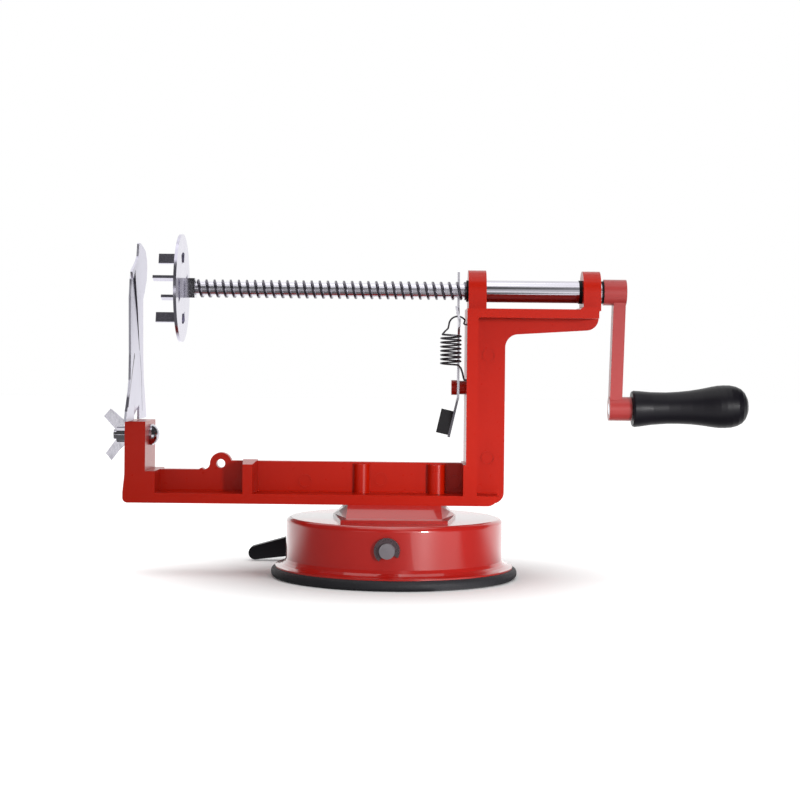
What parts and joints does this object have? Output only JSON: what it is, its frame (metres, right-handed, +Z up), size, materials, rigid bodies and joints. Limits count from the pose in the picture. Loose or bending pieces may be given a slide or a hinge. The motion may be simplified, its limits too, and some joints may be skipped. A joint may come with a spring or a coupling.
{
  "type": "tornado potato cutter",
  "caption": "Hand cranked spiral potato cutter: slotted blade plate, pronged drive disc on a feed screw, cast frame, crank with turned grip, lever suction base.",
  "frame": {"origin": "middle of the foot ring's underside, on the table", "axes": "+X along the feed screw towards the crank, +Y away from the picture's viewer, +Z up"},
  "size_m": [0.2627, 0.1008, 0.1384],
  "materials": {
    "red_paint": "gloss",
    "crank_paint": "gloss",
    "stainless": "satin",
    "plated_steel": "bright",
    "spring_steel": "dark",
    "black_plastic": "satin",
    "black_nylon": "matt",
    "rubber": "matt"
  },
  "bodies": {
    "base": {"frame_casting": "red_paint", "blade_plate": "stainless", "blade_bolt": "plated_steel", "blade_washer": "plated_steel", "guide_tube": "plated_steel", "front_bush": "black_nylon", "rear_bush": "black_nylon", "lever_stud": "red_paint", "base_housing": "red_paint", "base_screws": "plated_steel", "foot_ring": "rubber", "suction_diaphragm": "rubber", "release_spring": "spring_steel"},
    "feed": {"thrust_washer": "black_nylon"},
    "shaft": {"feed_screw": "plated_steel", "fork_disc": "stainless", "disc_nut": "plated_steel", "crank_arm": "crank_paint", "grip_spindle": "plated_steel"},
    "grip": {"handle_grip": "black_plastic"},
    "release": {"release_lever": "spring_steel", "lever_tab_cover": "black_nylon"},
    "wing": {"wing_nut": "plated_steel"},
    "suction_shaft": {"suction_axle": "plated_steel", "axle_clip": "plated_steel", "suction_lever_arm": "plated_steel", "suction_lever_grip": "black_plastic"},
    "stem": {"suction_stem": "plated_steel"}
  },
  "joints": [
    {"name": "screw_feed", "type": "slide", "parent": "base", "child": "feed", "axis": [1, 0, 0], "range_m": [0, 0.0958]},
    {"name": "crank_turn", "type": "hinge", "parent": "feed", "child": "shaft", "pos_m": [0, 0, 0.1164], "axis": [1, 0, 0], "range_deg": [0, 10440]},
    {"name": "grip_spin", "type": "hinge", "parent": "shaft", "child": "grip", "pos_m": [0.109, 0, 0.06944], "axis": [0.9994, 0, 0.0349], "continuous": true},
    {"name": "release_swing", "type": "hinge", "parent": "base", "child": "release", "pos_m": [0.0254, 0, 0.077], "axis": [1, 0, 0], "range_deg": [-5, 0], "stiffness_Nm_per_rad": 0.3, "springref_deg": 5.73, "deforming": ["release_spring"]},
    {"name": "wing_nut_turn", "type": "hinge", "parent": "base", "child": "wing", "pos_m": [-0.111, 0, 0.0565], "axis": [1, 0, 0], "continuous": true},
    {"name": "suction_lever_turn", "type": "hinge", "parent": "base", "child": "suction_shaft", "pos_m": [-0.0026, 0, 0.015], "axis": [0, 1, 0], "range_deg": [0, 100]},
    {"name": "stem_lift", "type": "slide", "parent": "base", "child": "stem", "axis": [0, 0, 1], "range_m": [-0.0018, 0], "deforming": ["suction_diaphragm"]}
  ],
  "couplings": [
    {"joint": "screw_feed", "follows": "crank_turn", "m_per_rad": 0.00052521},
    {"joint": "stem_lift", "follows": "suction_lever_turn", "m_per_rad": -0.00101}
  ]
}
